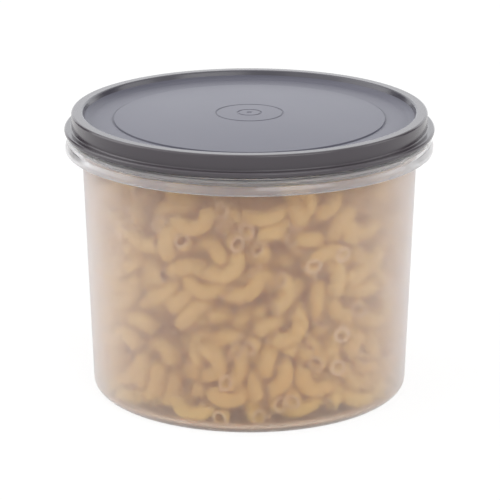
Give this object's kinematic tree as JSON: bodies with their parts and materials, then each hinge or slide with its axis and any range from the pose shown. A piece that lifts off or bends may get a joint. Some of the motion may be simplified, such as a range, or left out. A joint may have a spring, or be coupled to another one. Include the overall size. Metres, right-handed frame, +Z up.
{
  "type": "round food storage canister",
  "caption": "Round translucent kitchen canister with a tapered wall, a hanging rim skirt and a lift-off press-on lid with a raised ridge and recessed panel.",
  "frame": {"origin": "centre of the foot ring's face, on the surface that the canister stands on", "axes": "+Z up along the canister's axis, -Y towards the viewer in the picture, +X to the viewer's right"},
  "size_m": [0.1652, 0.1652, 0.1282],
  "materials": {
    "natural_polypropylene": "milky translucent, frosted wall with a glossy rim",
    "slate_grey_polyethylene": "opaque satin slate grey"
  },
  "bodies": {
    "canister": {"canister": "natural_polypropylene"},
    "lid": {"lid": "slate_grey_polyethylene"}
  },
  "joints": [
    {"name": "lid_lift", "type": "slide", "parent": "canister", "child": "lid", "axis": [0, 0, 1], "range_m": [0, 0.15]}
  ]
}
